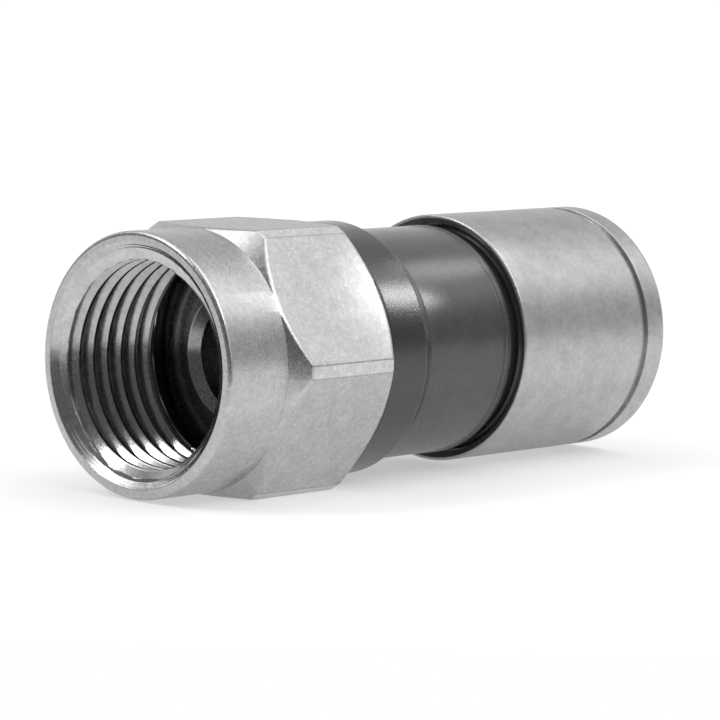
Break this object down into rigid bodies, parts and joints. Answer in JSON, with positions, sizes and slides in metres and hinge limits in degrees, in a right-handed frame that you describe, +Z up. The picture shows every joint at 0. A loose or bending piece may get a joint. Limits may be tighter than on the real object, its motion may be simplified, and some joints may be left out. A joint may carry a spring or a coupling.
{
  "type": "f connector",
  "caption": "Compression plug for coaxial cable: a hexagon nut with a threaded mouth spins on a bored post, and a nickel sleeve slides forward over a dark body to grip the cable.",
  "frame": {"origin": "centre of the nut's mouth, on the plug's axis and in the plane of the nut's front face", "axes": "+X along the axis from the mouth to the cable end, +Z up with the plug lying on one flat of its hexagon"},
  "size_m": [0.028, 0.0126, 0.0112],
  "materials": {
    "nut_nickel": "satin nickel plate on brass, turned and milled",
    "post_nickel": "dull nickel plate on brass, turned",
    "body_plastic": "dark grey moulded plastic with a soft sheen",
    "sleeve_nickel": "satin nickel plate on brass, drawn and turned",
    "seal_rubber": "matte black rubber"
  },
  "bodies": {
    "plug": {"connector_body": "body_plastic", "post": "post_nickel", "nut_seal": "seal_rubber"},
    "nut": {"coupling_nut": "nut_nickel"},
    "sleeve": {"compression_sleeve": "sleeve_nickel"}
  },
  "joints": [
    {"name": "nut_spin", "type": "hinge", "parent": "plug", "child": "nut", "pos_m": [0.0064, 0, 0], "axis": [1, 0, 0], "continuous": true},
    {"name": "sleeve_slide", "type": "slide", "parent": "plug", "child": "sleeve", "axis": [-1, 0, 0], "range_m": [0, 0.0063]}
  ]
}
